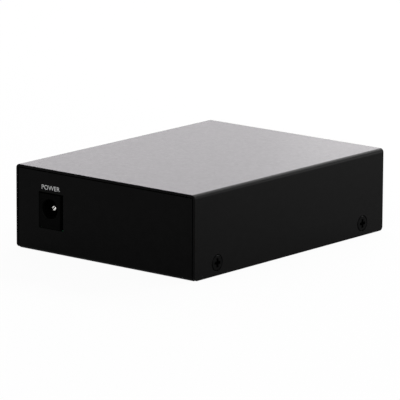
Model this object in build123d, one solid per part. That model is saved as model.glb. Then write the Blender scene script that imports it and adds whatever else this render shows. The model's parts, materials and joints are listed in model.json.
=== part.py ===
from build123d import *
import os

# Fibre media converter: a small folded steel case with a power inlet at the back and its ports at the front.
# Millimetres. The origin is the middle of the underside, +Z is up and the port panel faces -Y.

# Folded steel case
case_width = 73.0
case_depth = 94.5
case_height = 27.0
sheet = 0.8
bend_inner_radius = 0.5
seam_gap = 0.3
wall_clearance = 0.1
cover_lift = 0.2
flange_height = 8.0
flange_corner_radius = 1.5
relief_width = 1.0

# Flat head screws that hold the cover, and the cross recess that all screws share
cover_screw_inset = 10.8
cover_screw_height = 4.25
cover_screw_length = 4.0
screw_diameter = 2.9
thread_clearance = 0.05
flat_head_diameter = 5.1
flat_head_rim = 0.4
flat_head_edge = 0.35
flat_head_rise = 0.1
recess_span = 2.8
recess_width = 0.95
recess_depth = 1.0
recess_taper = 12.0
collar_length = 1.0
collar_wall = 0.5

# Circuit board, its standoffs and pan head screws
board_height_share = 4 / 17
board_thickness = 1.6
board_side_gap = 0.4
board_front_gap = 2.5
board_rear_gap = 0.6
board_corner_radius = 1.5
board_hole_inset = 3.6
board_hole_rear_inset = 19.0
board_hole_clearance = 0.2
standoff_diameter = 5.5
standoff_shank_diameter = 4.2
standoff_sink = 0.05
press_clearance = 0.03
pan_head_diameter = 5.4
pan_head_height = 1.9
pan_head_rim = 1.0
pan_screw_reach = 3.2
tap_runout = 0.6
leg_clearance = 0.15

# Barrel inlet for the power plug
jack_inset = 13.9
jack_setback = 0.1
jack_width = 8.6
jack_height = 11.0
jack_depth = 14.2
jack_collar_depth = 3.4
jack_axis_height = 6.25
jack_barrel_radius = 4.2
jack_bore_diameter = 6.2
jack_bore_depth = 10.0
jack_mouth_chamfer = 0.25
jack_pin_diameter = 2.1
jack_pin_recess = 1.8
jack_pin_tip_radius = 0.7
jack_pin_slot_width = 0.4
jack_pin_slot_depth = 3.0
jack_pin_slot_angle = 45.0
jack_rivet_diameter = 3.2
jack_rivet_height = 0.5
jack_lug_width = 3.0
jack_lug_thickness = 0.5
jack_lug_depth = 3.2
jack_spring_width = 2.4
jack_spring_thickness = 0.35
jack_spring_setback = 3.9
jack_spring_bow = 0.35
jack_spring_play = 0.1
jack_gap_narrow = 0.1
jack_gap_wide = 1.45
jack_gap_above = 0.5

# Port panel: how the width that the ports and lamps leave free is shared out, from the copper port's edge
port_setback = 0.1
port_cutout_gap = 0.5
copper_edge_share = 0.32
port_gap_share = 0.41
lamp_gap_share = 0.21

# Copper port, an eight-way modular jack in a sheet shield
rj45_width = 16.0
rj45_height = 13.4
rj45_depth = 21.3
shield_sheet = 0.3
shield_play = 0.1
shield_leg_width = 1.6
shield_leg_position = 9.0
plug_width = 11.9
plug_height = 6.9
plug_depth = 13.6
plug_floor = 4.4
latch_widths = (6.4, 3.8)
latch_depths = (1.6, 1.1)
contact_count = 8
contact_pitch = 1.02
contact_width = 0.45
contact_thickness = 0.3
contact_tray_height = 1.0
contact_front = 3.4
contact_drop = 2.6
contact_leg_position = 16.6
rear_bay_front = 15.0

# Fibre port, a cage for a plug-in optical module
cage_width = 14.2
cage_height = 9.8
cage_depth = 48.8
cage_sheet = 0.3
cage_vent_length = 4.2
cage_vent_width = 1.3
cage_vent_rows = 2
cage_vent_columns = 6
cage_vent_start = 12.0
cage_pin_width = 1.0
cage_pin_count = 4
cage_pin_drop = 2.4
latch_tongue_width = 5.2
latch_tongue_length = 7.0
latch_slit = 0.5
latch_window = 2.6
latch_window_inset = 2.4
connector_bay_length = 12.4
emi_strip_thickness = 0.15
emi_finger_width = 2.2
emi_finger_length = 5.0
emi_finger_ramp = 1.3
emi_finger_pitch = 3.2
emi_finger_start = 0.5
emi_band_width = 1.6
emi_clearance = 0.08
connector_width = 11.4
connector_depth = 7.0
connector_height = 5.8
connector_chamfer = 0.4
connector_rear_gap = 3.0
connector_slot_width = 9.6
connector_slot_height = 1.4
connector_slot_depth = 4.6
connector_slot_floor = 2.6
connector_lead_count = 10
connector_lead_pitch = 0.8

# Status lights: surface lamps under a clear moulded light guide
lamp_count = 3
lamp_pitch = 5.0
lamp_size = (1.6, 0.8, 0.7)
lamp_gap = 0.2
guide_diameter = 2.2
guide_hole_clearance = 0.1
guide_height = 9.6
guide_reach = 11.2
guide_bar_height = 1.2
guide_mirror = 2.0
guide_foot_width = 1.6
guide_peg_diameter = 1.0
guide_peg_clearance = 0.05

# Mode switch, a right-angle slide switch with a flush actuator
switch_width = 8.6
switch_depth = 4.4
switch_height = 4.7
switch_sheet = 0.3
switch_play = 0.1
switch_base_height = 0.8
switch_travel = 2.0
knob_width = 2.0
knob_height = 1.8
knob_setback = 0.2
knob_rib_pitch = 0.6
knob_rib_depth = 0.5
knob_play = 0.3
carriage_width = 4.4
terminal_width = 0.6
terminal_thickness = 0.3
terminal_drop = 2.6
terminal_pitch = 2.5

# Surface packages on the board: body length, width, height
lead_thickness = 0.2
package_lift = 0.1
package_draft = 8.0
converter_size = (10.0, 10.0, 1.6)
converter_lead_count = 11
converter_lead_pitch = 0.8
converter_lead_width = 0.32
converter_lead_foot = 1.3
transformer_size = (15.1, 7.6, 5.7)
transformer_lead_count = 12
transformer_lead_pitch = 1.27
transformer_lead_width = 0.5
transformer_lead_foot = 1.4
transformer_gap = 4.4
small_package_size = (4.9, 3.9, 1.5)
small_package_lead_count = 4
small_package_lead_pitch = 1.27
small_package_lead_width = 0.42
small_package_lead_foot = 1.0
regulator_size = (6.5, 3.5, 1.7)
regulator_tab_width = 3.0
regulator_lead_pitch = 2.3
regulator_lead_width = 0.7
crystal_size = (11.0, 4.4, 3.5)
crystal_flange = 0.4
inductor_size = (7.3, 7.3, 4.2)
inductor_corner = 1.6
inductor_core_diameter = 5.4
inductor_core_groove = 0.5
diode_size = (4.3, 2.6, 2.2)
fuse_size = (4.5, 3.2, 1.2)
isolator_size = (4.6, 2.0, 1.6)
chip_size = (1.6, 0.8, 0.5)
can_diameter = 8.0
can_height = 11.5
can_pitch = 9.2
can_count = 3
can_bead_height = 1.6
can_bead_depth = 0.35
can_edge = 0.5
part_gap = 1.2

# How far back from the cage some packages stand, as a share of the board behind it
converter_share = 0.27
crystal_share = 0.2
memory_share = 0.43
regulator_share = 0.66

# Worked-out case levels
half_width = case_width / 2
half_depth = case_depth / 2
bend_outer_radius = bend_inner_radius + sheet
panel_half_width = half_width - sheet - seam_gap
panel_top = case_height - sheet - seam_gap
flange_face = half_width - sheet - wall_clearance
cover_screw_y = half_depth - cover_screw_inset

# Worked-out board edges and holes
board_underside = case_height * board_height_share
board_half_width = half_width - cover_screw_length - board_side_gap
board_front = -half_depth + sheet + board_front_gap
board_rear = half_depth - sheet - board_rear_gap
board_top = board_underside + board_thickness
board_hole_x = board_half_width - board_hole_inset
screw_radius = screw_diameter / 2
tap_radius = screw_radius + thread_clearance

# Worked-out connector places
jack_x = half_width - jack_inset
jack_face = half_depth - jack_setback
jack_back = jack_face - jack_depth
jack_axis = board_top + jack_axis_height
port_face = -half_depth + port_setback
guide_width = lamp_pitch * lamp_count + 2 * guide_foot_width
spare_width = 2 * board_half_width - rj45_width - cage_width - guide_width
rj45_x = board_half_width - copper_edge_share * spare_width - rj45_width / 2
rj45_back = port_face + rj45_depth
cage_x = rj45_x - rj45_width / 2 - port_gap_share * spare_width - cage_width / 2
cage_back = port_face + cage_depth
connector_back = cage_back - cage_sheet - connector_rear_gap
lamp_x = cage_x - cage_width / 2 - lamp_gap_share * spare_width - guide_width / 2
guide_axis = board_top + guide_height
guide_back = port_face + guide_reach
guide_front = guide_back - guide_diameter
switch_x = lamp_x
switch_front = board_front
knob_axis = board_top + switch_base_height + (switch_height - switch_base_height - switch_sheet) / 2

# Worked-out package places
transformer_x = rj45_x
transformer_y = rj45_back + transformer_gap + transformer_size[1] / 2
transformer_back = transformer_y + transformer_size[1] / 2 + transformer_lead_foot
board_hole_ys = (transformer_back + part_gap + pan_head_diameter / 2, board_rear - board_hole_rear_inset)
rear_span = board_rear - cage_back
converter_x = cage_x
converter_y = cage_back + converter_share * rear_span
can_y = board_rear - part_gap - can_diameter / 2
can_x = jack_x - jack_width / 2 - part_gap - can_diameter / 2
inductor_y = can_y - can_diameter / 2 - 2 * part_gap - inductor_size[1] / 2
buck_x = can_x + inductor_size[0] / 2 - small_package_size[0] / 2
small_package_reach = small_package_size[1] / 2 + small_package_lead_foot
buck_y = inductor_y - inductor_size[1] / 2 - 2 * part_gap - small_package_reach
west_x = converter_x - converter_size[0] / 2 - converter_lead_foot - 2 * part_gap - crystal_size[0] / 2
crystal_y = cage_back + crystal_share * rear_span
memory_y = cage_back + memory_share * rear_span
regulator_y = cage_back + regulator_share * rear_span
diode_y = jack_back - jack_lug_thickness - jack_rivet_height - 2 * part_gap - diode_size[1] / 2
fuse_y = diode_y - diode_size[1] / 2 - 2 * part_gap - fuse_size[1] / 2

ON_FLOOR = (Align.CENTER, Align.CENTER, Align.MIN)
MARGIN = 1.0


def block(low, high):
    """A box between two opposite corners, given in any order."""
    size = [abs(b - a) for a, b in zip(low, high)]
    middle = [(a + b) / 2 for a, b in zip(low, high)]
    return Pos(*middle) * Box(*size)


def upright(plan, low, high):
    """A square post between two heights, given its middle and its size in plan."""
    x, y, width, depth = plan
    return block((x - width / 2, y - depth / 2, low), (x + width / 2, y + depth / 2, high))


def rod(start, direction, radius, length):
    """A round bar from a point along a direction."""
    return Plane(origin=start, z_dir=direction) * Cylinder(radius, length, align=ON_FLOOR)


def area(points):
    """A flat face with straight sides."""
    return make_face(Polyline(*points, close=True))


def on_board(x, y):
    """The place on the board's upper face above a point of its plan."""
    return Pos(x, y, board_top)


def folded_channel(plane, span, rise, length):
    """Sheet folded along two edges: a U drawn on the plane, run out to either side of it."""
    outer = Rectangle(span, rise, align=(Align.CENTER, Align.MIN))
    outer = fillet(outer.vertices().sort_by(Axis.Y)[:2], bend_outer_radius)
    inner = Pos(0, sheet) * Rectangle(span - 2 * sheet, rise, align=(Align.CENTER, Align.MIN))
    inner = fillet(inner.vertices().sort_by(Axis.Y)[:2], bend_inner_radius)
    return extrude(plane * (outer - inner), length / 2, both=True)


# Screws

def cross_recess():
    """The tapered cross that a driver fits, sunk from the plane z = 0."""
    cross = Rectangle(recess_span, recess_width) + Rectangle(recess_width, recess_span)
    return extrude(cross, -recess_depth, taper=recess_taper)


def flat_head(top, grow, tip):
    """A countersunk screw, or the seat that it needs: its head faces +Z and the sheet's face is z = 0."""
    head = flat_head_diameter / 2 + grow
    shank = screw_radius + grow
    rim = flat_head_rise - flat_head_rim
    cone_end = rim - (head - shank)
    outline = area([(0, top), (head, top), (head, rim), (shank, cone_end), (shank, tip), (0, tip)])
    return revolve(Plane.XZ * outline, Axis.Z)


def pan_head():
    """A pan head screw whose head rests on z = 0."""
    radius = pan_head_diameter / 2
    crown = radius - (pan_head_height - pan_head_rim)
    tip = -board_thickness - pan_screw_reach
    outline = area([(0, pan_head_height), (crown, pan_head_height), (radius, pan_head_rim), (radius, 0),
                    (screw_radius, 0), (screw_radius, tip), (0, tip)])
    return revolve(Plane.XZ * outline, Axis.Z) - Pos(0, 0, pan_head_height) * cross_recess()


def cover_screw_places():
    """Planes on the case's side walls, one at each cover screw, facing outwards."""
    for side in (-1, 1):
        for y in (-cover_screw_y, cover_screw_y):
            centre = (side * half_width, y, cover_screw_height)
            yield Plane(origin=centre, x_dir=(0, side, 0), z_dir=(side, 0, 0))


def board_hole_places():
    """Centres of the board's fixing holes in plan."""
    return [(side * board_hole_x, y) for side in (-1, 1) for y in board_hole_ys]


def make_cover_screws():
    """Flat head screws whose rims are chamfered, so that a dark ring shows round each head in its seat."""
    screw = flat_head(flat_head_rise, 0, -cover_screw_length)
    screw = chamfer(screw.edges().group_by(Axis.Z)[-1], flat_head_edge)
    screw -= Pos(0, 0, flat_head_rise) * cross_recess()
    return [place * screw for place in cover_screw_places()]


def make_board_screws():
    return [Pos(x, y, board_top) * pan_head() for x, y in board_hole_places()]


def make_board_standoffs():
    """Round blind-tapped spacers, swaged into the tray's floor."""
    height = board_underside - sheet
    barrel = Pos(0, 0, sheet) * Cylinder(standoff_diameter / 2, height, align=ON_FLOOR)
    shank_height = sheet - standoff_sink
    shank = Pos(0, 0, standoff_sink) * Cylinder(standoff_shank_diameter / 2, shank_height, align=ON_FLOOR)
    bore = rod((0, 0, board_underside), (0, 0, -1), tap_radius, pan_screw_reach + tap_runout)
    standoff = barrel + shank - bore
    return [Pos(x, y, 0) * standoff for x, y in board_hole_places()]


# Case

def jack_cutout():
    """The window in the rear panel: the inlet stands against one side of it."""
    east = jack_x + jack_width / 2 + jack_gap_narrow
    west = jack_x - jack_width / 2 - jack_gap_wide
    low = board_top - jack_gap_narrow
    high = board_top + jack_height + jack_gap_above
    return block((west, half_depth - sheet - MARGIN, low), (east, half_depth + MARGIN, high))


def port_cutout(x, width, height):
    """A window in the port panel round a connector that stands on the board."""
    reach = width / 2 + port_cutout_gap
    low = board_top - port_cutout_gap
    high = board_top + height + port_cutout_gap
    return block((x - reach, -half_depth - MARGIN, low), (x + reach, -half_depth + sheet + MARGIN, high))


def knob_slot(front, back, play):
    """The slot that the switch's actuator travels in."""
    reach = (knob_width + switch_travel) / 2 + play
    rise = knob_height / 2 + play
    return block((switch_x - reach, front, knob_axis - rise), (switch_x + reach, back, knob_axis + rise))


def lamp_places():
    """Where the lamps stand across the panel."""
    return [lamp_x + (i - (lamp_count - 1) / 2) * lamp_pitch for i in range(lamp_count)]


def make_base_tray():
    """Floor, port panel, rear panel and two low side flanges, folded from one sheet with relieved corners."""
    tray = folded_channel(Plane.YZ, case_depth, panel_top, 2 * panel_half_width)
    fold = flange_face - bend_outer_radius
    reach = half_depth - bend_outer_radius
    for side in (-1, 1):
        tray -= block((side * fold, -reach, -MARGIN), (side * half_width, reach, bend_outer_radius))
    flanges = folded_channel(Plane.XZ, 2 * flange_face, flange_height, 2 * (reach - relief_width))
    flanges = fillet(flanges.edges().filter_by(Axis.X).group_by(Axis.Z)[-1], flange_corner_radius)
    tray += flanges
    collar_start = half_width - flange_face + sheet
    for place in cover_screw_places():
        collar = rod((0, 0, -collar_start), (0, 0, -1), tap_radius + collar_wall, collar_length)
        tray += place * collar
        tray -= place * flat_head(MARGIN, thread_clearance, -cover_screw_length - MARGIN)
    for x, y in board_hole_places():
        hole_radius = standoff_shank_diameter / 2 + press_clearance
        tray -= rod((x, y, -MARGIN), (0, 0, 1), hole_radius, sheet + 2 * MARGIN)
    tray -= jack_cutout()
    tray -= port_cutout(rj45_x, rj45_width, rj45_height)
    tray -= port_cutout(cage_x, cage_width, cage_height)
    tray -= knob_slot(-half_depth - MARGIN, -half_depth + sheet + MARGIN, knob_play)
    for x in lamp_places():
        hole_radius = guide_diameter / 2 + guide_hole_clearance
        tray -= rod((x, -half_depth - MARGIN, guide_axis), (0, 1, 0), hole_radius, sheet + 2 * MARGIN)
    return tray


def make_top_cover():
    """Top and both side walls in one folded sheet, with seats for the flat head screws."""
    hanging = Plane(origin=(0, 0, case_height), x_dir=(1, 0, 0), z_dir=(0, 1, 0))
    cover = folded_channel(hanging, case_width, case_height - cover_lift, case_depth)
    cover = fillet(cover.edges().filter_by(Axis.X).group_by(Axis.Z)[0], bend_outer_radius)
    for place in cover_screw_places():
        cover -= place * flat_head(MARGIN, thread_clearance, -cover_screw_length)
    return cover


# Power inlet

def jack_lug_places():
    """The inlet's two solder lugs: middle in plan and size."""
    rear_y = jack_back - jack_lug_thickness / 2
    spring_y = jack_face - jack_collar_depth - jack_spring_setback + jack_spring_thickness / 2
    return [(jack_x, rear_y, jack_lug_width, jack_lug_thickness),
            (jack_x, spring_y, jack_spring_width, jack_spring_thickness)]


def jack_spring_outline():
    """The contact leaf and its lug, seen from the side, drawn from the jack's axis."""
    thick = jack_spring_thickness
    heel = -jack_collar_depth - jack_spring_setback
    bed = -jack_bore_diameter / 2
    tip = -jack_collar_depth
    crown = (heel + tip) / 2
    foot = -jack_axis_height - board_thickness - MARGIN
    return [(heel, foot), (heel, bed), (crown, bed + jack_spring_bow), (tip, bed), (tip, bed - thick),
            (crown, bed + jack_spring_bow - thick), (heel + thick, bed - thick), (heel + thick, foot)]


def make_dc_jack_housing():
    """Moulded inlet: a square collar in the panel, and a barrel on a square foot behind it."""
    left = jack_x - jack_width / 2
    right = jack_x + jack_width / 2
    top = board_top + jack_height
    collar = block((left, jack_face - jack_collar_depth, board_top), (right, jack_face, top))
    foot = block((left, jack_back, board_top), (right, jack_face, jack_axis))
    barrel = rod((jack_x, jack_face, jack_axis), (0, -1, 0), jack_barrel_radius, jack_depth)
    housing = collar + foot + barrel
    bore = rod((jack_x, jack_face, jack_axis), (0, -1, 0), jack_bore_diameter / 2, jack_bore_depth)
    mouth_radius = jack_bore_diameter / 2 + jack_mouth_chamfer
    mouth = Cone(mouth_radius, jack_bore_diameter / 2, jack_mouth_chamfer, align=ON_FLOOR)
    mouth = Plane(origin=(jack_x, jack_face, jack_axis), z_dir=(0, -1, 0)) * mouth
    seat_radius = jack_pin_diameter / 2 + press_clearance
    seat = rod((jack_x, jack_face, jack_axis), (0, -1, 0), seat_radius, jack_depth + MARGIN)
    groove_front = jack_face - jack_collar_depth + jack_spring_play
    groove_back = jack_face - jack_collar_depth - jack_spring_setback - jack_spring_play
    reach = jack_spring_width / 2 + jack_spring_play
    groove = block((jack_x - reach, groove_back, board_top - MARGIN),
                   (jack_x + reach, groove_front, jack_axis - jack_bore_diameter / 4))
    return housing - bore - mouth - seat - groove


def make_dc_jack_pin():
    """Split centre pin, riveted through the back of the inlet, with the lug that is soldered to the board."""
    tip = jack_face - jack_pin_recess
    radius = jack_pin_diameter / 2
    back = jack_back - jack_lug_thickness - jack_rivet_height
    pin = rod((jack_x, back, jack_axis), (0, 1, 0), radius, tip - back)
    pin = fillet(pin.edges().group_by(Axis.Y)[-1], jack_pin_tip_radius)
    slot = Box(jack_pin_slot_width, 2 * jack_pin_slot_depth, 2 * jack_pin_diameter)
    pin -= Pos(jack_x, tip, jack_axis) * Rot(0, -jack_pin_slot_angle, 0) * slot
    rivet = rod((jack_x, back, jack_axis), (0, 1, 0), jack_rivet_diameter / 2, jack_rivet_height)
    half_lug = jack_lug_width / 2
    lug = block((jack_x - half_lug, jack_back - jack_lug_thickness, board_top - jack_lug_depth),
                (jack_x + half_lug, jack_back, jack_axis))
    eye = rod((jack_x, jack_back - jack_lug_thickness, jack_axis), (0, 1, 0), half_lug, jack_lug_thickness)
    return pin + rivet + lug + eye


def make_dc_jack_spring():
    """Leaf that bears on the plug's sleeve: it lies in the foot's groove and bows into the bore."""
    side_view = Plane(origin=(jack_x, jack_face, jack_axis), x_dir=(0, 1, 0), z_dir=(1, 0, 0))
    return extrude(side_view * area(jack_spring_outline()), jack_spring_width / 2, both=True)


# Copper port

def make_rj45_shield():
    """Sheet can over the jack: a window at the front, open underneath, two legs into the board."""
    left = rj45_x - rj45_width / 2
    right = rj45_x + rj45_width / 2
    top = board_top + rj45_height
    shield = block((left, port_face, board_top), (right, rj45_back, top))
    shield -= block((left + shield_sheet, port_face + shield_sheet, board_top - MARGIN),
                    (right - shield_sheet, rj45_back - shield_sheet, top - shield_sheet))
    lip = plug_width / 2 + shield_sheet
    window_floor = board_top + plug_floor - sum(latch_depths) - shield_sheet
    window_roof = board_top + plug_floor + plug_height + shield_sheet
    shield -= block((rj45_x - lip, port_face - MARGIN, window_floor),
                    (rj45_x + lip, port_face + shield_sheet + MARGIN, window_roof))
    for leg in shield_leg_places():
        shield += upright(leg, board_underside - MARGIN, board_top)
    return shield


def shield_leg_places():
    """The shield's two legs: middle in plan and size."""
    offset = (rj45_width - shield_sheet) / 2
    y = port_face + shield_leg_position
    return [(rj45_x + side * offset, y, shield_sheet, shield_leg_width) for side in (-1, 1)]


def make_rj45_housing():
    """Moulded body with the stepped plug opening, a tray for the contacts and an open bay for their legs."""
    inset = shield_sheet + shield_play
    half = rj45_width / 2 - inset
    front = port_face + inset
    top = board_top + rj45_height - inset
    body = block((rj45_x - half, front, board_top), (rj45_x + half, rj45_back - inset, top))
    floor = board_top + plug_floor
    roof = floor + plug_height
    back = port_face + plug_depth
    body -= block((rj45_x - plug_width / 2, front - MARGIN, floor), (rj45_x + plug_width / 2, back, roof))
    step = floor
    for width, depth in zip(latch_widths, latch_depths):
        body -= block((rj45_x - width / 2, front - MARGIN, step - depth), (rj45_x + width / 2, back, step))
        step -= depth
    west = rj45_x - contact_count * contact_pitch / 2
    east = rj45_x + contact_count * contact_pitch / 2
    tray_top = roof + contact_tray_height
    bay_front = port_face + rear_bay_front
    body -= block((west, front + contact_width, roof), (east, bay_front, tray_top))
    body -= block((west, bay_front, board_top - MARGIN), (east, rj45_back, tray_top))
    return body


def make_rj45_contacts():
    """Spring wires that hang into the plug opening, run back along the roof and go down to the board."""
    height = plug_floor + plug_height + contact_tray_height - contact_thickness / 2
    tongue_end = (plug_depth - contact_front, height - contact_thickness - contact_drop)
    fold = (contact_front, height)
    knee = (contact_leg_position, height)
    outline = trace(Polyline(tongue_end, fold, knee, (contact_leg_position, 0)), contact_thickness)
    contacts = []
    for i in range(contact_count):
        x = rj45_x + (i - (contact_count - 1) / 2) * contact_pitch
        side_view = Plane(origin=(x, port_face, board_top), x_dir=(0, 1, 0), z_dir=(1, 0, 0))
        contacts.append(extrude(side_view * outline, contact_width / 2, both=True))
    return contacts


# Fibre port

def cage_pin_places():
    """The cage's press-in pins: middle in plan and size."""
    offset = (cage_width - cage_sheet) / 2
    pitch = cage_depth / cage_pin_count
    return [(cage_x + side * offset, port_face + (i + 0.5) * pitch, cage_sheet, cage_pin_width)
            for side in (-1, 1) for i in range(cage_pin_count)]


def make_sfp_cage():
    """Folded cage: open mouth, latch tongue in its floor, vented roof, and a bay over the board connector."""
    half = cage_width / 2
    inner = half - cage_sheet
    top = board_top + cage_height
    cage = block((cage_x - half, port_face, board_top), (cage_x + half, cage_back, top))
    cage -= block((cage_x - inner, port_face - MARGIN, board_top + cage_sheet),
                  (cage_x + inner, cage_back - cage_sheet, top - cage_sheet))
    cage -= block((cage_x - inner, cage_back - connector_bay_length, board_top - MARGIN),
                  (cage_x + inner, cage_back - cage_sheet, board_top + MARGIN))
    for side in (-1, 1):
        edge = cage_x + side * latch_tongue_width / 2
        cage -= block((edge, port_face - MARGIN, board_top - MARGIN),
                      (edge + side * latch_slit, port_face + latch_tongue_length, board_top + MARGIN))
    window_front = port_face + latch_window_inset
    catch = area([(cage_x - latch_window / 2, window_front), (cage_x + latch_window / 2, window_front),
                  (cage_x, window_front + latch_window)])
    cage -= Pos(0, 0, board_top - MARGIN) * extrude(catch, 2 * MARGIN)
    row_pitch = cage_width / (cage_vent_rows + 1)
    vent_pitch = (cage_depth - cage_vent_start) / cage_vent_columns
    for row in range(cage_vent_rows):
        x = cage_x + (row - (cage_vent_rows - 1) / 2) * row_pitch
        for column in range(cage_vent_columns):
            y = port_face + cage_vent_start + (column + 0.5) * vent_pitch
            cage -= upright((x, y, cage_vent_width, cage_vent_length), top - MARGIN, top + MARGIN)
    for pin in cage_pin_places():
        cage += upright(pin, board_top - cage_pin_drop, board_top)
    return cage


def emi_finger():
    """One contact finger from the side: it rises off the cage, runs level and comes down to the band."""
    crest = port_cutout_gap - emi_clearance
    ramp = emi_finger_ramp
    long = emi_finger_length
    end = long + emi_band_width
    thick = emi_strip_thickness
    under = crest - thick
    return area([(0, 0), (ramp, crest), (long - ramp, crest), (long, thick), (end, thick), (end, 0),
                 (long - thick, 0), (long - ramp - thick, under), (ramp + thick, under), (2 * thick, 0)])


def make_sfp_emi_springs():
    """Contact fingers on the cage's roof and sides, joined by a band, that ground it to the panel's edge."""
    start = port_face + emi_finger_start
    front = start + emi_finger_length
    back = front + emi_band_width
    half = cage_width / 2
    top = board_top + cage_height
    outer = half + emi_strip_thickness
    crown = top + emi_strip_thickness
    band = block((cage_x - outer, front, board_top + MARGIN), (cage_x + outer, back, crown))
    band -= block((cage_x - half, front - MARGIN, board_top), (cage_x + half, back + MARGIN, top))
    roof_count = int((cage_width - emi_finger_width) / emi_finger_pitch) + 1
    wall_count = int((cage_height - MARGIN - emi_finger_width) / emi_finger_pitch) + 1
    for i in range(roof_count):
        x = cage_x + (i - (roof_count - 1) / 2) * emi_finger_pitch
        view = Plane(origin=(x, start, top), x_dir=(0, 1, 0), z_dir=(1, 0, 0))
        band += extrude(view * emi_finger(), emi_finger_width / 2, both=True)
    for side in (-1, 1):
        for i in range(wall_count):
            z = board_top + (cage_height + MARGIN) / 2 + (i - (wall_count - 1) / 2) * emi_finger_pitch
            view = Plane(origin=(cage_x + side * half, start, z), x_dir=(0, 1, 0), z_dir=(0, 0, -side))
            band += extrude(view * emi_finger(), emi_finger_width / 2, both=True)
    return band


def make_sfp_connector():
    """Moulded edge connector that the optical module's card plugs into."""
    half = connector_width / 2
    front = connector_back - connector_depth
    top = board_top + connector_height
    body = block((cage_x - half, front, board_top), (cage_x + half, connector_back, top))
    body = chamfer(body.edges().filter_by(Axis.X).group_by(Axis.Z)[-1], connector_chamfer)
    slot_half = connector_slot_width / 2
    slot_floor = board_top + connector_slot_floor
    slot_roof = slot_floor + connector_slot_height
    return body - block((cage_x - slot_half, front - MARGIN, slot_floor),
                        (cage_x + slot_half, front + connector_slot_depth, slot_roof))


def lead_row(count, pitch, width, reach, height, foot):
    """A row of bent leads along X that stand against the face y = reach and run out along the board."""
    thick = lead_thickness
    face = reach + thick
    end = reach + foot
    outline = area([(reach, 0), (reach, height), (face, height), (face, thick), (end, thick), (end, 0)])
    leads = []
    for i in range(count):
        x = (i - (count - 1) / 2) * pitch
        leads.append(Pos(x, 0, 0) * extrude(Plane.YZ * outline, width / 2, both=True))
    return leads


def lead_rows(turns, *row):
    """The same row of leads on several sides of a package, each given as a turn about +Z."""
    return [Rot(0, 0, turn) * lead for turn in turns for lead in lead_row(*row)]


def make_sfp_contacts():
    middle = connector_back - connector_depth / 2
    leads = lead_rows((0, 180), connector_lead_count, connector_lead_pitch, converter_lead_width,
                      connector_depth / 2, connector_slot_floor, small_package_lead_foot)
    return [on_board(cage_x, middle) * lead for lead in leads]


# Status lights

def make_light_guide():
    """Clear moulding: one bent pipe to each lamp, a bar across them and two feet pegged into the board."""
    radius = guide_diameter / 2
    leg_end = board_top + lamp_size[2] + lamp_gap
    bar_top = guide_axis - guide_diameter
    guide = block((lamp_x - guide_width / 2, guide_front, bar_top - guide_bar_height),
                  (lamp_x + guide_width / 2, guide_back, bar_top))
    for x in lamp_places():
        pipe = rod((x, port_face, guide_axis), (0, 1, 0), radius, guide_reach - guide_diameter)
        leg = block((x - radius, guide_front, leg_end), (x + radius, guide_back, guide_axis + radius))
        back_edge = leg.edges().filter_by(Axis.X).group_by(Axis.Z)[-1].sort_by(Axis.Y)[-1]
        guide += pipe + chamfer(back_edge, guide_mirror)
    for x, y in guide_peg_places():
        guide += upright((x, y, guide_foot_width, guide_diameter), board_top, bar_top)
        guide += rod((x, y, board_underside), (0, 0, 1), guide_peg_diameter / 2, board_thickness)
    return guide


def guide_peg_places():
    """Where the light guide's two feet are pegged into the board."""
    offset = (guide_width - guide_foot_width) / 2
    return [(lamp_x + side * offset, guide_back - guide_diameter / 2) for side in (-1, 1)]


def make_status_lamps():
    lamp = Box(*lamp_size, align=ON_FLOOR)
    return [on_board(x, guide_back - guide_diameter / 2) * lamp for x in lamp_places()]


# Mode switch

def switch_box(inset, low, high):
    """A box inside the switch's outline, taken in on all sides, between two heights over the board."""
    half = switch_width / 2 - inset
    return block((switch_x - half, switch_front + inset, board_top + low),
                 (switch_x + half, switch_front + switch_depth - inset, board_top + high))


def make_switch_frame():
    """Pressed steel lid over the switch, open underneath, slotted for the actuator."""
    frame = switch_box(0, 0, switch_height)
    frame -= switch_box(switch_sheet, -MARGIN, switch_height - switch_sheet)
    return frame - knob_slot(switch_front - MARGIN, switch_front + switch_sheet + MARGIN, switch_play)


def make_switch_base():
    """Laminate plate that carries the terminals."""
    base = switch_box(switch_sheet + switch_play / 2, 0, switch_base_height)
    for x, y, width, depth in terminal_places():
        slot = (x, y, width + switch_play, depth + switch_play)
        base -= upright(slot, board_top - MARGIN, board_top + switch_height)
    return base


def terminal_places():
    """The switch's three terminals: middle in plan and size."""
    y = switch_front + switch_depth / 2
    return [(switch_x + i * terminal_pitch, y, terminal_width, terminal_thickness) for i in (-1, 0, 1)]


def make_switch_terminals():
    top = board_top + switch_base_height
    return [upright(terminal, board_top - terminal_drop, top) for terminal in terminal_places()]


def make_switch_slider():
    """Actuator at the west end of its travel: a carriage in the frame and a knob through the panel."""
    x = switch_x - switch_travel / 2
    inset = switch_sheet + switch_play
    middle = switch_front + switch_depth / 2
    plan = (x, middle, carriage_width, switch_depth - 2 * inset)
    carriage = upright(plan, board_top + switch_base_height + switch_play, board_top + switch_height - inset)
    knob = block((x - knob_width / 2, -half_depth + knob_setback, knob_axis - knob_height / 2),
                 (x + knob_width / 2, middle, knob_axis + knob_height / 2))
    ribs = [Pos(x + i * knob_rib_pitch, -half_depth + knob_setback, knob_axis) for i in (-1, 0, 1)]
    for rib in ribs:
        knob -= rib * Box(knob_rib_pitch / 2, knob_rib_depth, knob_height)
    return carriage + knob


# Packages on the board

def moulded_package(size):
    """A moulded body, drafted both ways from its parting line, that stands a little off the board."""
    length, width, height = size
    half = (height - package_lift) / 2
    plan = Pos(0, 0, package_lift + half) * Rectangle(length, width)
    return extrude(plan, half, taper=package_draft) + extrude(plan, -half, taper=package_draft)


def parting_height(size):
    """How high over the board a package's leads come out."""
    return (size[2] + package_lift + lead_thickness) / 2


def make_converter_chip():
    return on_board(converter_x, converter_y) * moulded_package(converter_size)


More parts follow.
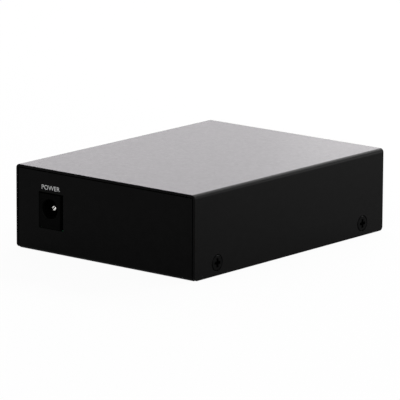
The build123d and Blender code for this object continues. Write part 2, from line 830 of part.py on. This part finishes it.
def make_converter_chip_leads():
    leads = lead_rows((0, 90, 180, 270), converter_lead_count, converter_lead_pitch, converter_lead_width,
                      converter_size[0] / 2, parting_height(converter_size), converter_lead_foot)
    return [on_board(converter_x, converter_y) * lead for lead in leads]


def make_lan_transformer():
    return on_board(transformer_x, transformer_y) * moulded_package(transformer_size)


def make_lan_transformer_leads():
    leads = lead_rows((0, 180), transformer_lead_count, transformer_lead_pitch, transformer_lead_width,
                      transformer_size[1] / 2, parting_height(transformer_size), transformer_lead_foot)
    return [on_board(transformer_x, transformer_y) * lead for lead in leads]


def small_package_leads(x, y):
    """The eight leads of a small two-row package."""
    leads = lead_rows((0, 180), small_package_lead_count, small_package_lead_pitch, small_package_lead_width,
                      small_package_size[1] / 2, parting_height(small_package_size), small_package_lead_foot)
    return [on_board(x, y) * lead for lead in leads]


def make_buck_regulator():
    return on_board(buck_x, buck_y) * moulded_package(small_package_size)


def make_buck_regulator_leads():
    return small_package_leads(buck_x, buck_y)


def make_config_memory():
    return on_board(west_x, memory_y) * moulded_package(small_package_size)


def make_config_memory_leads():
    return small_package_leads(west_x, memory_y)


def make_core_regulator():
    return on_board(west_x, regulator_y) * moulded_package(regulator_size)


def make_core_regulator_leads():
    """Three legs on one side and the wide heat tab on the other."""
    height = parting_height(regulator_size)
    reach = regulator_size[1] / 2
    legs = lead_row(3, regulator_lead_pitch, regulator_lead_width, reach, height, small_package_lead_foot)
    tab = lead_row(1, 0, regulator_tab_width, reach, height, small_package_lead_foot)
    return [on_board(west_x, regulator_y) * leg for leg in legs + [Rot(0, 0, 180) * tab[0]]]


def make_clock_crystal():
    """Pressed metal can with rounded ends on a thin flange."""
    length, width, height = crystal_size
    can = extrude(SlotOverall(length - 2 * crystal_flange, width - 2 * crystal_flange), height)
    can = chamfer(can.edges().group_by(Axis.Z)[-1], crystal_flange)
    return on_board(west_x, crystal_y) * (can + extrude(SlotOverall(length, width), crystal_flange))


def make_power_inductor():
    """Shielded choke: a square ferrite cup with its round core showing in the top."""
    length, width, height = inductor_size
    cup = extrude(RectangleRounded(length, width, inductor_corner), height)
    ring = Circle(inductor_core_diameter / 2) - Circle(inductor_core_diameter / 2 - inductor_core_groove)
    cup -= Pos(0, 0, height) * extrude(ring, -inductor_core_groove)
    return on_board(can_x, inductor_y) * cup


def make_filter_capacitors():
    """Upright electrolytic cans, rolled in above the seal and turned over at the top edge."""
    radius = can_diameter / 2
    bead = can_bead_depth
    outline = area([(0, 0), (radius, 0), (radius, can_bead_height - bead), (radius - bead, can_bead_height),
                    (radius, can_bead_height + bead), (radius, can_height - can_edge),
                    (radius - can_edge, can_height), (0, can_height)])
    can = revolve(Plane.XZ * outline, Axis.Z)
    return [on_board(can_x - i * can_pitch, can_y) * can for i in range(can_count)]


def make_input_diode():
    return on_board(jack_x - jack_width / 2 + diode_size[0] / 2, diode_y) * moulded_package(diode_size)


def make_input_fuse():
    return on_board(jack_x - jack_width / 2 + fuse_size[0] / 2, fuse_y) * Box(*fuse_size, align=ON_FLOOR)


def make_isolation_capacitor():
    """Ceramic block that ties the copper port's shield to ground."""
    y = rj45_back + part_gap / 2 + isolator_size[1] / 2
    return on_board(rj45_x, y) * Box(*isolator_size, align=ON_FLOOR)


def chip_line(x, y, count, pitch):
    """A line of small two-ended chips along Y."""
    return [on_board(x, y + i * pitch) * Box(*chip_size, align=ON_FLOOR) for i in range(count)]


def make_chip_resistors():
    """Pull-ups beside the cage and terminations behind the transformer."""
    pitch = chip_size[1] + part_gap
    beside_cage = cage_x - cage_width / 2 - part_gap - chip_size[0] / 2
    behind = transformer_back + part_gap
    pull_ups = chip_line(beside_cage, cage_back - 7 * pitch, 6, pitch)
    return pull_ups + chip_line(transformer_x, behind, 4, pitch)


def make_chip_capacitors():
    """Decoupling capacitors beside the converter chip and beside the crystal."""
    pitch = chip_size[1] + part_gap
    reach = converter_size[0] / 2 + converter_lead_foot + part_gap + chip_size[0] / 2
    west = west_x - crystal_size[0] / 2 - part_gap - chip_size[0] / 2
    beside_chip = chip_line(converter_x + reach, converter_y - 2 * pitch, 5, pitch)
    return beside_chip + chip_line(west, crystal_y - 2 * pitch, 5, pitch)


def make_circuit_board():
    """Laminate with fixing holes, slots for the connectors' legs and holes for the light guide's pegs."""
    length = board_rear - board_front
    plan = RectangleRounded(2 * board_half_width, length, board_corner_radius)
    plan = Pos(0, board_front + length / 2) * plan
    for x, y in board_hole_places():
        plan -= Pos(x, y) * Circle(screw_radius + board_hole_clearance)
    for x, y in guide_peg_places():
        plan -= Pos(x, y) * Circle(guide_peg_diameter / 2 + guide_peg_clearance)
    for x, y, width, depth in shield_leg_places() + cage_pin_places() + terminal_places() + jack_lug_places():
        plan -= Pos(x, y) * Rectangle(width + 2 * leg_clearance, depth + 2 * leg_clearance)
    return Pos(0, 0, board_underside) * extrude(plan, board_thickness)


PIECES = {
    "base_tray": make_base_tray,
    "top_cover": make_top_cover,
    "cover_screws": make_cover_screws,
    "board_standoffs": make_board_standoffs,
    "board_screws": make_board_screws,
    "circuit_board": make_circuit_board,
    "dc_jack_housing": make_dc_jack_housing,
    "dc_jack_pin": make_dc_jack_pin,
    "dc_jack_spring": make_dc_jack_spring,
    "rj45_shield": make_rj45_shield,
    "rj45_housing": make_rj45_housing,
    "rj45_contacts": make_rj45_contacts,
    "sfp_cage": make_sfp_cage,
    "sfp_emi_springs": make_sfp_emi_springs,
    "sfp_connector": make_sfp_connector,
    "sfp_contacts": make_sfp_contacts,
    "light_guide": make_light_guide,
    "status_lamps": make_status_lamps,
    "switch_frame": make_switch_frame,
    "switch_base": make_switch_base,
    "switch_terminals": make_switch_terminals,
    "switch_slider": make_switch_slider,
    "converter_chip": make_converter_chip,
    "converter_chip_leads": make_converter_chip_leads,
    "lan_transformer": make_lan_transformer,
    "lan_transformer_leads": make_lan_transformer_leads,
    "buck_regulator": make_buck_regulator,
    "buck_regulator_leads": make_buck_regulator_leads,
    "config_memory": make_config_memory,
    "config_memory_leads": make_config_memory_leads,
    "core_regulator": make_core_regulator,
    "core_regulator_leads": make_core_regulator_leads,
    "clock_crystal": make_clock_crystal,
    "power_inductor": make_power_inductor,
    "filter_capacitors": make_filter_capacitors,
    "input_diode": make_input_diode,
    "input_fuse": make_input_fuse,
    "isolation_capacitor": make_isolation_capacitor,
    "chip_resistors": make_chip_resistors,
    "chip_capacitors": make_chip_capacitors,
}


def main():
    os.makedirs("parts", exist_ok=True)
    for name, make in PIECES.items():
        made = make()
        shapes = made if isinstance(made, list) else [made]
        solids = [solid for shape in shapes for solid in shape.solids()]
        whole = solids[0] if len(solids) == 1 else Compound(solids)
        export_step(whole, f"parts/{name}.step")


main()
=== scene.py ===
import json
import math

import bpy
from mathutils import Matrix, Vector


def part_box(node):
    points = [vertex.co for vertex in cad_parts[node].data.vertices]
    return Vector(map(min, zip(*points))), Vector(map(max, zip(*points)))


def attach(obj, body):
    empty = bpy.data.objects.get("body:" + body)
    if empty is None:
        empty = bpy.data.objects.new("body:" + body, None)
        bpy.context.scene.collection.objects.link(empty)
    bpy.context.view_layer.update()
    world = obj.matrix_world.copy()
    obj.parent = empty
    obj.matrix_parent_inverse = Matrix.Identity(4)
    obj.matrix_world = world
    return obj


# Looks of the fibre media converter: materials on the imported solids, a printed word, camera, floor and
# light. Metres and degrees. The power panel faces +Y, the port panel -Y and +Z is up.

MM = 0.001


def grey(level):
    """A colour without a tint."""
    return (level, level, level)


# Camera, from the perspective of the photograph
image_px = 400
camera_place = (-0.80087, 0.96816, 0.28695)
camera_heading = -50.3800
camera_pitch = -12.3143
camera_roll = 0.2795
camera_reach = 50.0
focal_px = 4046.8
sensor_width = 36.0

# Floor and studio: the tone and the level that light the object, how white the camera sees each of them, and
# the share of that white that shows when they are mirrored
floor_size = 8.0
floor_tone = grey(0.88)
floor_white = 0.94
floor_mirror = 0.3
studio_level = 0.32
studio_white = 1.0
studio_mirror = 1.0

# Panel lamps: where each hangs, the point that it faces, its size, and how bright its face is
origin = (0, 0, 0)
lamps = {
    "back_panel": dict(
        place=(0.77, -0.92, 0.40), target=origin, width=0.9, height=0.75, radiance=3.5,
        colour=(1.0, 0.96, 1.0)),
    "back_top": dict(
        place=(-0.12, -1.0, 0.78), target=origin, width=1.0, height=0.25, radiance=8.8),
    "side_panel": dict(
        place=(-0.23, -0.32, 0.08), target=(-0.03, -0.05, 0.01), width=0.2, height=0.16, radiance=4.2),
    "far_glow": dict(
        place=(0.08, -0.37, 0.115), target=(-0.02, -0.03, 0.02), width=0.3, height=0.22, radiance=0.95),
    "front_fill": dict(
        place=(-0.8, 1.0, 0.9), target=origin, width=1.4, height=1.4, radiance=2.5),
}

# Softened edges: how wide they are on each solid that has them, and which edges count as sharp
sheet_edge = 0.08 * MM
moulding_edge = 0.12 * MM
fine_edge = 0.04 * MM
edge_widths = {
    "base_tray": sheet_edge,
    "top_cover": sheet_edge,
    "sfp_cage": fine_edge,
    "rj45_shield": fine_edge,
    "switch_frame": fine_edge,
    "dc_jack_housing": moulding_edge,
    "rj45_housing": fine_edge,
    "switch_slider": fine_edge,
}
edge_segments = 2
edge_angle = 40.0
flat_angle = 0.5
weld_reach = 0.001 * MM

# Finishes: the two colours and the two roughnesses that each varies between, how many grains of its relief
# go into a metre, and the relief's depth
finishes = {
    "case_paint": dict(
        low=grey(0.0008), high=grey(0.0014), rough=(0.28, 0.36), grain=2600.0, relief=0.012 * MM,
        specular=0.036),
    "black_steel": dict(
        low=grey(0.0006), high=grey(0.001), rough=(0.3, 0.4), grain=3000.0, relief=0.004 * MM,
        specular=0.024),
    "plated_steel": dict(
        low=(0.55, 0.55, 0.54), high=(0.68, 0.68, 0.67), rough=(0.22, 0.36), grain=700.0,
        relief=0.002 * MM, metallic=1.0),
    "black_plastic": dict(
        low=grey(0.01), high=grey(0.015), rough=(0.35, 0.5), grain=2200.0, relief=0.006 * MM,
        specular=0.2),
    "inlet_plastic": dict(
        low=grey(0.0006), high=grey(0.001), rough=(0.3, 0.4), grain=2200.0, relief=0.006 * MM,
        specular=0.012),
    "plated_brass": dict(
        low=(0.7, 0.69, 0.66), high=(0.8, 0.79, 0.76), rough=(0.12, 0.2), grain=900.0,
        relief=0.001 * MM, metallic=1.0),
    "gold_contact": dict(
        low=(0.75, 0.52, 0.2), high=(0.86, 0.64, 0.28), rough=(0.16, 0.26), grain=900.0,
        relief=0.001 * MM, metallic=1.0),
    "lamp": dict(
        low=(0.75, 0.73, 0.55), high=(0.82, 0.8, 0.66), rough=(0.2, 0.3), grain=1500.0,
        relief=0.001 * MM),
    "tinned_lead": dict(
        low=grey(0.6), high=grey(0.72), rough=(0.28, 0.42), grain=1600.0, relief=0.001 * MM,
        metallic=1.0),
    "ferrite": dict(
        low=(0.035, 0.035, 0.036), high=(0.06, 0.06, 0.062), rough=(0.5, 0.7), grain=1800.0,
        relief=0.01 * MM),
    "can_aluminium": dict(
        low=(0.66, 0.66, 0.68), high=(0.76, 0.76, 0.78), rough=(0.24, 0.34), grain=600.0,
        relief=0.002 * MM, metallic=1.0),
    "chip_ceramic": dict(
        low=(0.2, 0.15, 0.1), high=(0.32, 0.25, 0.17), rough=(0.4, 0.55), grain=1800.0,
        relief=0.004 * MM),
}

# Solids whose finish differs a little from the rest of their slot
own_finish = {"dc_jack_housing": "inlet_plastic"}

# How a finish varies: patches of colour and of gloss, in grains, and where one colour gives way to the other
colour_patch = 6
gloss_patch = 3
blend_start = 0.3
blend_end = 0.7
noise_detail = 3.0
noise_rough = 0.55

# Clear plastic of the light guide
clear_colour = (0.95, 0.97, 0.97)
clear_share = 0.9
clear_index = 1.49
clear_rough = (0.06, 0.14)
clear_grain = 900.0

# Circuit board: lacquer in two shades, and the raised tracks under it
lacquer_dark = (0.008, 0.075, 0.03)
lacquer_light = (0.01, 0.09, 0.036)
lacquer_rough = (0.22, 0.36)
lacquer_grain = 1500.0
track_colour = (0.03, 0.17, 0.07)
track_scale = 260.0
track_width = 0.035
track_relief = 0.03 * MM

# Printed word over the inlet
print_text = "POWER"
print_width = 7.5 * MM
print_height = 1.45 * MM
print_raise = 0.015 * MM
print_gap = 1.4 * MM
print_shift = -0.6 * MM
ink_low = grey(0.36)
ink_high = grey(0.48)
ink_rough = 0.55
ink_grain = 1800.0

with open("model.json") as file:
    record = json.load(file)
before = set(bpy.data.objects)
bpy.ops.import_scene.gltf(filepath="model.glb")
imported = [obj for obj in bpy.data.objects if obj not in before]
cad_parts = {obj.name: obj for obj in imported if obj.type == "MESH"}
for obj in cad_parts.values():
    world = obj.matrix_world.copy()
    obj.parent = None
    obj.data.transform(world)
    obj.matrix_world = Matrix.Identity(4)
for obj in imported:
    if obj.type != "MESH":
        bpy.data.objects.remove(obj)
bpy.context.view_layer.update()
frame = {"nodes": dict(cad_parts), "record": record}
nodes = frame["nodes"]
record = frame["record"]


def solid_colour(colour):
    """A colour with full cover, as sockets take it."""
    return (*colour, 1.0)


def shader_tree(name):
    """A new material, its nodes, and the shader that is already wired to its output."""
    material = bpy.data.materials.new(name)
    material.use_nodes = True
    tree = material.node_tree
    return material, tree, tree.nodes["Principled BSDF"]


def noise(tree, scale):
    """Solid noise in the object's own metres."""
    place = tree.nodes.new("ShaderNodeTexCoord")
    texture = tree.nodes.new("ShaderNodeTexNoise")
    texture.inputs["Scale"].default_value = scale
    texture.inputs["Detail"].default_value = noise_detail
    texture.inputs["Roughness"].default_value = noise_rough
    tree.links.new(place.outputs["Object"], texture.inputs["Vector"])
    return texture.outputs["Fac"]


def ramp(tree, value, low, high):
    """A blend between two colours along a value."""
    node = tree.nodes.new("ShaderNodeValToRGB")
    start, end = node.color_ramp.elements
    start.position = blend_start
    start.color = solid_colour(low)
    end.position = blend_end
    end.color = solid_colour(high)
    tree.links.new(value, node.inputs["Fac"])
    return node.outputs["Color"]


def spread(tree, value, low, high):
    """A value moved into a range."""
    node = tree.nodes.new("ShaderNodeMapRange")
    node.inputs["To Min"].default_value = low
    node.inputs["To Max"].default_value = high
    tree.links.new(value, node.inputs["Value"])
    return node.outputs["Result"]


def bump(tree, value, depth):
    """Relief of a given depth in metres."""
    node = tree.nodes.new("ShaderNodeBump")
    node.inputs["Distance"].default_value = depth
    tree.links.new(value, node.inputs["Height"])
    return node.outputs["Normal"]


def finish_material(name, low, high, rough, grain, relief, metallic=0.0, specular=0.5):
    """A surface with a little variation in colour and gloss and a fine relief of its own."""
    material, tree, shader = shader_tree(name)
    shader.inputs["Metallic"].default_value = metallic
    shader.inputs["Specular IOR Level"].default_value = specular
    colour = ramp(tree, noise(tree, grain / colour_patch), low, high)
    gloss = spread(tree, noise(tree, grain / gloss_patch), *rough)
    tree.links.new(colour, shader.inputs["Base Color"])
    tree.links.new(gloss, shader.inputs["Roughness"])
    tree.links.new(bump(tree, noise(tree, grain), relief), shader.inputs["Normal"])
    return material


def clear_material(name):
    """Clear moulded plastic."""
    material, tree, shader = shader_tree(name)
    shader.inputs["Base Color"].default_value = solid_colour(clear_colour)
    shader.inputs["Transmission Weight"].default_value = clear_share
    shader.inputs["IOR"].default_value = clear_index
    tree.links.new(spread(tree, noise(tree, clear_grain), *clear_rough), shader.inputs["Roughness"])
    return material


def laminate_material(name):
    """Green lacquer over copper tracks."""
    material, tree, shader = shader_tree(name)
    place = tree.nodes.new("ShaderNodeTexCoord")
    tracks = tree.nodes.new("ShaderNodeTexBrick")
    tracks.inputs["Scale"].default_value = track_scale
    tracks.inputs["Mortar Size"].default_value = track_width
    tracks.inputs["Color1"].default_value = solid_colour(lacquer_dark)
    tracks.inputs["Color2"].default_value = solid_colour(lacquer_light)
    tracks.inputs["Mortar"].default_value = solid_colour(track_colour)
    tree.links.new(place.outputs["Object"], tracks.inputs["Vector"])
    tree.links.new(tracks.outputs["Color"], shader.inputs["Base Color"])
    tree.links.new(spread(tree, noise(tree, lacquer_grain), *lacquer_rough), shader.inputs["Roughness"])
    tree.links.new(bump(tree, tracks.outputs["Fac"], track_relief), shader.inputs["Normal"])
    return material


def make_materials():
    """One material for each slot of the record, and one for the inlet's own darker plastic."""
    materials = {name: finish_material(name, **finish) for name, finish in finishes.items()}
    materials["laminate"] = laminate_material("laminate")
    materials["clear_plastic"] = clear_material("clear_plastic")
    return materials


def dress(materials):
    """Gives every solid the material of its slot, or its own."""
    for part in record["subparts"]:
        node = part["node"]
        finish = own_finish.get(node, part["material_slot"])
        nodes[node].data.materials.clear()
        nodes[node].data.materials.append(materials[finish])


def smooth_group():
    """Nodes that shade every face of a solid smoothly and leave its mesh as it is."""
    group = bpy.data.node_groups.new("smooth", "GeometryNodeTree")
    for direction in ("INPUT", "OUTPUT"):
        group.interface.new_socket("Geometry", in_out=direction, socket_type="NodeSocketGeometry")
    start = group.nodes.new("NodeGroupInput")
    shade = group.nodes.new("GeometryNodeSetShadeSmooth")
    end = group.nodes.new("NodeGroupOutput")
    group.links.new(start.outputs[0], shade.inputs["Geometry"])
    group.links.new(shade.outputs[0], end.inputs[0])
    return group


def soften(node, width, smooth):
    """Joins a solid's faces and rounds its sharp edges, as paint, pressing or moulding leaves them."""
    solid = nodes[node]
    shade = solid.modifiers.new("smooth", "NODES")
    shade.node_group = smooth
    weld = solid.modifiers.new("weld", "WELD")
    weld.merge_threshold = weld_reach
    flat = solid.modifiers.new("flat", "DECIMATE")
    flat.decimate_type = "DISSOLVE"
    flat.angle_limit = math.radians(flat_angle)
    edge = solid.modifiers.new("edge", "BEVEL")
    edge.width = width
    edge.segments = edge_segments
    edge.limit_method = "ANGLE"
    edge.angle_limit = math.radians(edge_angle)
    edge.miter_outer = "MITER_ARC"
    solid.modifiers.new("even", "WEIGHTED_NORMAL")


def letter_mesh():
    """The word as a mesh that lies flat and faces up."""
    letters = bpy.data.curves.new("inlet_print", "FONT")
    letters.body = print_text
    letters.extrude = print_raise / 2
    text = bpy.data.objects.new("inlet_print_curve", letters)
    bpy.context.scene.collection.objects.link(text)
    mesh = bpy.data.meshes.new_from_object(text.evaluated_get(bpy.context.evaluated_depsgraph_get()))
    bpy.data.objects.remove(text)
    return mesh


def ink_material():
    """Pale grey ink, a little uneven."""
    ink, tree, shader = shader_tree("print_ink")
    tree.links.new(ramp(tree, noise(tree, ink_grain), ink_low, ink_high), shader.inputs["Base Color"])
    shader.inputs["Roughness"].default_value = ink_rough
    return ink


def make_print():
    """The word over the inlet, printed on the rear panel and read from behind."""
    mesh = letter_mesh()
    low = [min(v.co[i] for v in mesh.vertices) for i in range(2)]
    high = [max(v.co[i] for v in mesh.vertices) for i in range(2)]
    middle = Matrix.Translation((-(low[0] + high[0]) / 2, -low[1], 0))
    scale = Matrix.Diagonal((print_width / (high[0] - low[0]), print_height / (high[1] - low[1]), 1, 1))
    facing = Matrix(((-1, 0, 0, 0), (0, 0, 1, 0), (0, 1, 0, 0), (0, 0, 0, 1)))
    inlet_low, inlet_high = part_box("dc_jack_housing")
    panel_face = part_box("base_tray")[1].y
    print_x = (inlet_low.x + inlet_high.x) / 2 + print_shift
    place = Matrix.Translation((print_x, panel_face, inlet_high.z + print_gap))
    mesh.transform(place @ facing @ scale @ middle)
    mesh.materials.append(ink_material())
    piece = bpy.data.objects.new("inlet_print", mesh)
    bpy.context.scene.collection.objects.link(piece)
    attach(piece, "converter")


def make_camera():
    """The photograph's own viewpoint."""
    heading = math.radians(camera_heading)
    pitch = math.radians(camera_pitch)
    level = math.cos(pitch)
    forward = Vector((level * math.cos(heading), level * math.sin(heading), math.sin(pitch)))
    right = forward.cross(Vector((0, 0, 1))).normalized()
    up = right.cross(forward)
    turn = Matrix((right, up, -forward)).transposed() @ Matrix.Rotation(math.radians(camera_roll), 3, "Z")
    data = bpy.data.cameras.new("camera")
    data.sensor_width = sensor_width
    data.lens = focal_px * sensor_width / image_px
    data.clip_end = camera_reach
    camera = bpy.data.objects.new("camera", data)
    camera.matrix_world = Matrix.Translation(camera_place) @ turn.to_4x4()
    bpy.context.scene.collection.objects.link(camera)
    bpy.context.scene.camera = camera


def looking(tree, mirrored):
    """1 where the camera sees a surface directly or through something clear, a share where mirrored."""
    path = tree.nodes.new("ShaderNodeLightPath")
    value = path.outputs["Is Camera Ray"]
    for name, level in (("Is Glossy Ray", mirrored), ("Is Transmission Ray", 1.0)):
        part = tree.nodes.new("ShaderNodeMath")
        part.operation = "MULTIPLY"
        part.inputs[1].default_value = level
        either = tree.nodes.new("ShaderNodeMath")
        either.operation = "MAXIMUM"
        tree.links.new(path.outputs[name], part.inputs[0])
        tree.links.new(value, either.inputs[0])
        tree.links.new(part.outputs[0], either.inputs[1])
        value = either.outputs[0]
    return value


def make_floor():
    """A pale floor, nearly white to the camera, that keeps a faint shadow."""
    half = floor_size / 2
    corners = [(-half, -half, 0), (half, -half, 0), (half, half, 0), (-half, half, 0)]
    mesh = bpy.data.meshes.new("floor")
    mesh.from_pydata(corners, [], [(0, 1, 2, 3)])
    material = bpy.data.materials.new("floor")
    material.use_nodes = True
    tree = material.node_tree
    tree.nodes.clear()
    out = tree.nodes.new("ShaderNodeOutputMaterial")
    pale = tree.nodes.new("ShaderNodeBsdfDiffuse")
    pale.inputs["Color"].default_value = solid_colour(floor_tone)
    white = tree.nodes.new("ShaderNodeEmission")
    share = tree.nodes.new("ShaderNodeMath")
    share.operation = "MULTIPLY"
    share.inputs[1].default_value = floor_white
    mix = tree.nodes.new("ShaderNodeMixShader")
    tree.links.new(looking(tree, floor_mirror), share.inputs[0])
    tree.links.new(share.outputs[0], mix.inputs[0])
    tree.links.new(pale.outputs[0], mix.inputs[1])
    tree.links.new(white.outputs[0], mix.inputs[2])
    tree.links.new(mix.outputs[0], out.inputs["Surface"])
    mesh.materials.append(material)
    floor = bpy.data.objects.new("floor", mesh)
    bpy.context.scene.collection.objects.link(floor)


def make_world():
    """An even, plain studio, white where the camera looks past the object."""
    world = bpy.data.worlds.new("studio")
    bpy.context.scene.world = world
    world.use_nodes = True
    tree = world.node_tree
    tree.nodes.clear()
    out = tree.nodes.new("ShaderNodeOutputWorld")
    mix = tree.nodes.new("ShaderNodeMixShader")
    tree.links.new(looking(tree, studio_mirror), mix.inputs[0])
    for socket, strength in ((1, studio_level), (2, studio_white)):
        background = tree.nodes.new("ShaderNodeBackground")
        background.inputs["Color"].default_value = solid_colour(grey(1.0))
        background.inputs["Strength"].default_value = strength
        tree.links.new(background.outputs[0], mix.inputs[socket])
    tree.links.new(mix.outputs[0], out.inputs["Surface"])


def make_softbox(name, place, target, width, height, radiance, colour=grey(1.0)):
    """A soft panel lamp that faces a point. Its power comes from how bright its face is."""
    data = bpy.data.lights.new(name, "AREA")
    data.shape = "RECTANGLE"
    data.size = width
    data.size_y = height
    data.energy = radiance * math.pi * width * height
    data.color = colour
    lamp = bpy.data.objects.new(name, data)
    lamp.location = place
    lamp.rotation_euler = (Vector(target) - Vector(place)).to_track_quat("-Z", "Y").to_euler()
    lamp.visible_camera = False
    bpy.context.scene.collection.objects.link(lamp)


dress(make_materials())
smooth = smooth_group()
for node, width in edge_widths.items():
    soften(node, width, smooth)
make_print()
make_camera()
make_floor()
make_world()
for name, lamp in lamps.items():
    make_softbox(name, **lamp)

bpy.context.scene.view_settings.view_transform = "Standard"
